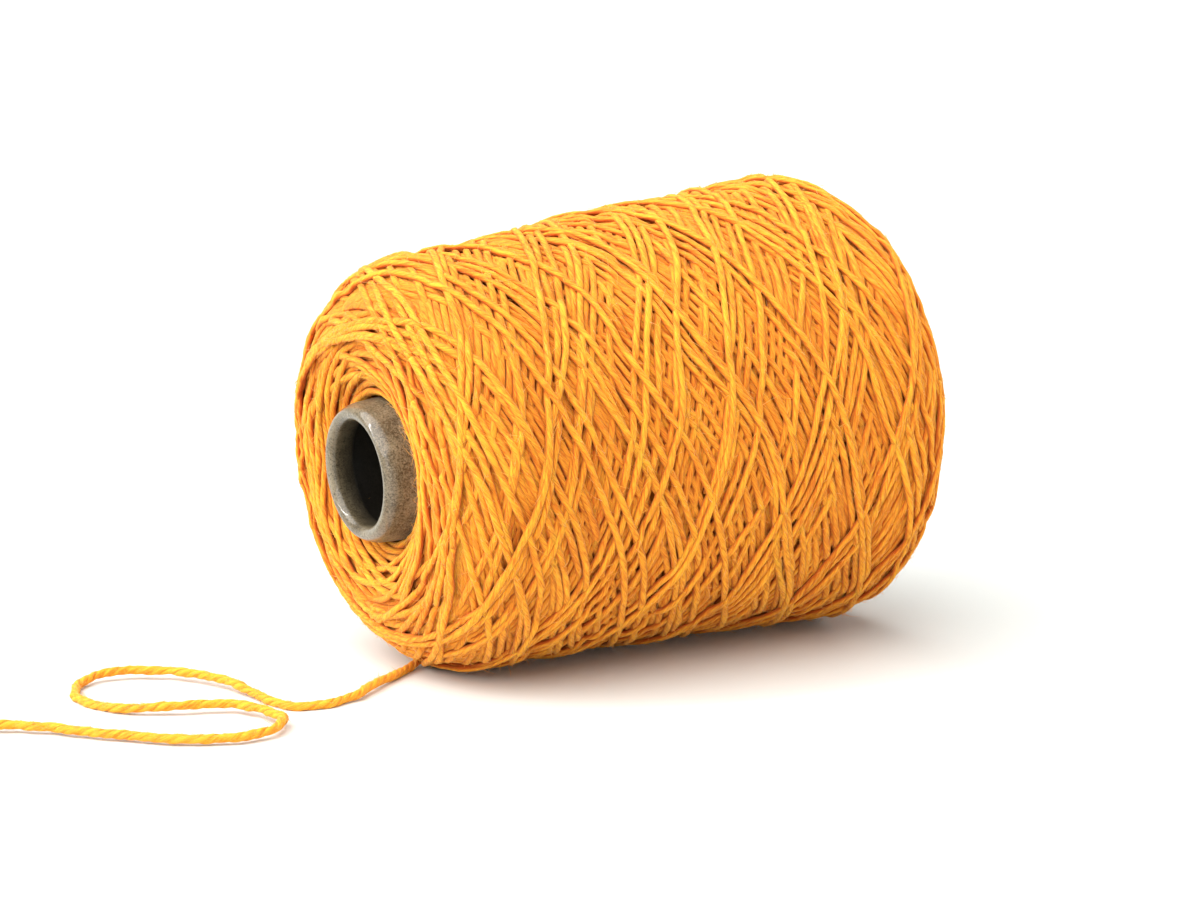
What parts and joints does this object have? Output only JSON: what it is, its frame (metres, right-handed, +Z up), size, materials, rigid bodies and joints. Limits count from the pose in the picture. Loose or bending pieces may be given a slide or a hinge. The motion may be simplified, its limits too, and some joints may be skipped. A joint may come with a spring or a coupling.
{
  "type": "cone of yarn",
  "caption": "Yarn cross-wound on a hollow card cone, lying on its side with its loose end trailing in front.",
  "frame": {"origin": "on the surface it rests on, under the middle of the box round the core and the winding, with the loose end left out", "axes": "+X from the cone's nose to its base along the surface, +Z up; the loose end leaves under the nose end, toward -X and -Y"},
  "size_m": [0.3012, 0.1394, 0.1392],
  "materials": {
    "yarn": "matte, softly fuzzy plied yarn, marigold orange",
    "card": "grey-brown card with fine specks, burnished to a low gloss at the rolled nose"
  },
  "bodies": {
    "root": {"core": "card", "wound_yarn": "yarn", "yarn_tail": "yarn"}
  },
  "joints": []
}
